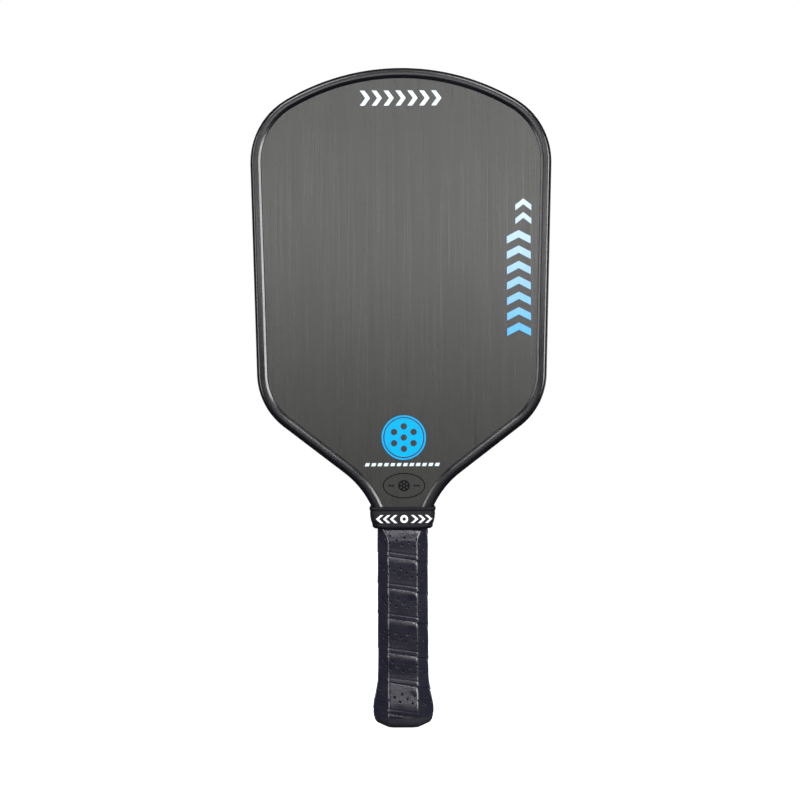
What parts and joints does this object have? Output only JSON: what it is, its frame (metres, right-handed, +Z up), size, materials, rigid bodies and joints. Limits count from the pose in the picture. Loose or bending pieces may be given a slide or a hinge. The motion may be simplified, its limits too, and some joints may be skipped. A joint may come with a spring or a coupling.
{
  "type": "pickleball paddle",
  "caption": "Elongated pickleball paddle: a flat carbon-faced honeycomb head in a moulded black edge guard, with a flared octagonal handle and a wrapped cushion grip.",
  "frame": {"origin": "centre of the butt's flat end", "axes": "+Z up the handle towards the top of the head, +X across the width of the head, and the front face looks along -Y"},
  "size_m": [0.1902, 0.0364, 0.417],
  "materials": {
    "carbon": "matte",
    "guard_plastic": "satin",
    "honeycomb_plastic": "matte",
    "rigid_foam": "matte",
    "tape": "matte",
    "cap_nylon": "satin",
    "staple_steel": "satin",
    "grip_cushion": "satin",
    "collar_rubber": "matte",
    "print_white": "matte",
    "print_blue": "matte",
    "print_dark": "matte"
  },
  "bodies": {
    "root": {"honeycomb_core": "honeycomb_plastic", "edge_foam": "rigid_foam", "edge_wrap_ply": "carbon", "front_inner_ply": "carbon", "front_outer_ply": "carbon", "back_inner_ply": "carbon", "back_outer_ply": "carbon", "edge_guard": "guard_plastic", "edge_guard_tape": "tape", "handle_shell_front": "rigid_foam", "handle_shell_back": "rigid_foam", "butt_cap": "cap_nylon", "butt_cap_staples": "staple_steel", "grip_adhesive": "tape", "grip_wrap": "grip_cushion", "grip_finishing_tape": "tape", "grip_collar": "collar_rubber"}
  },
  "joints": []
}
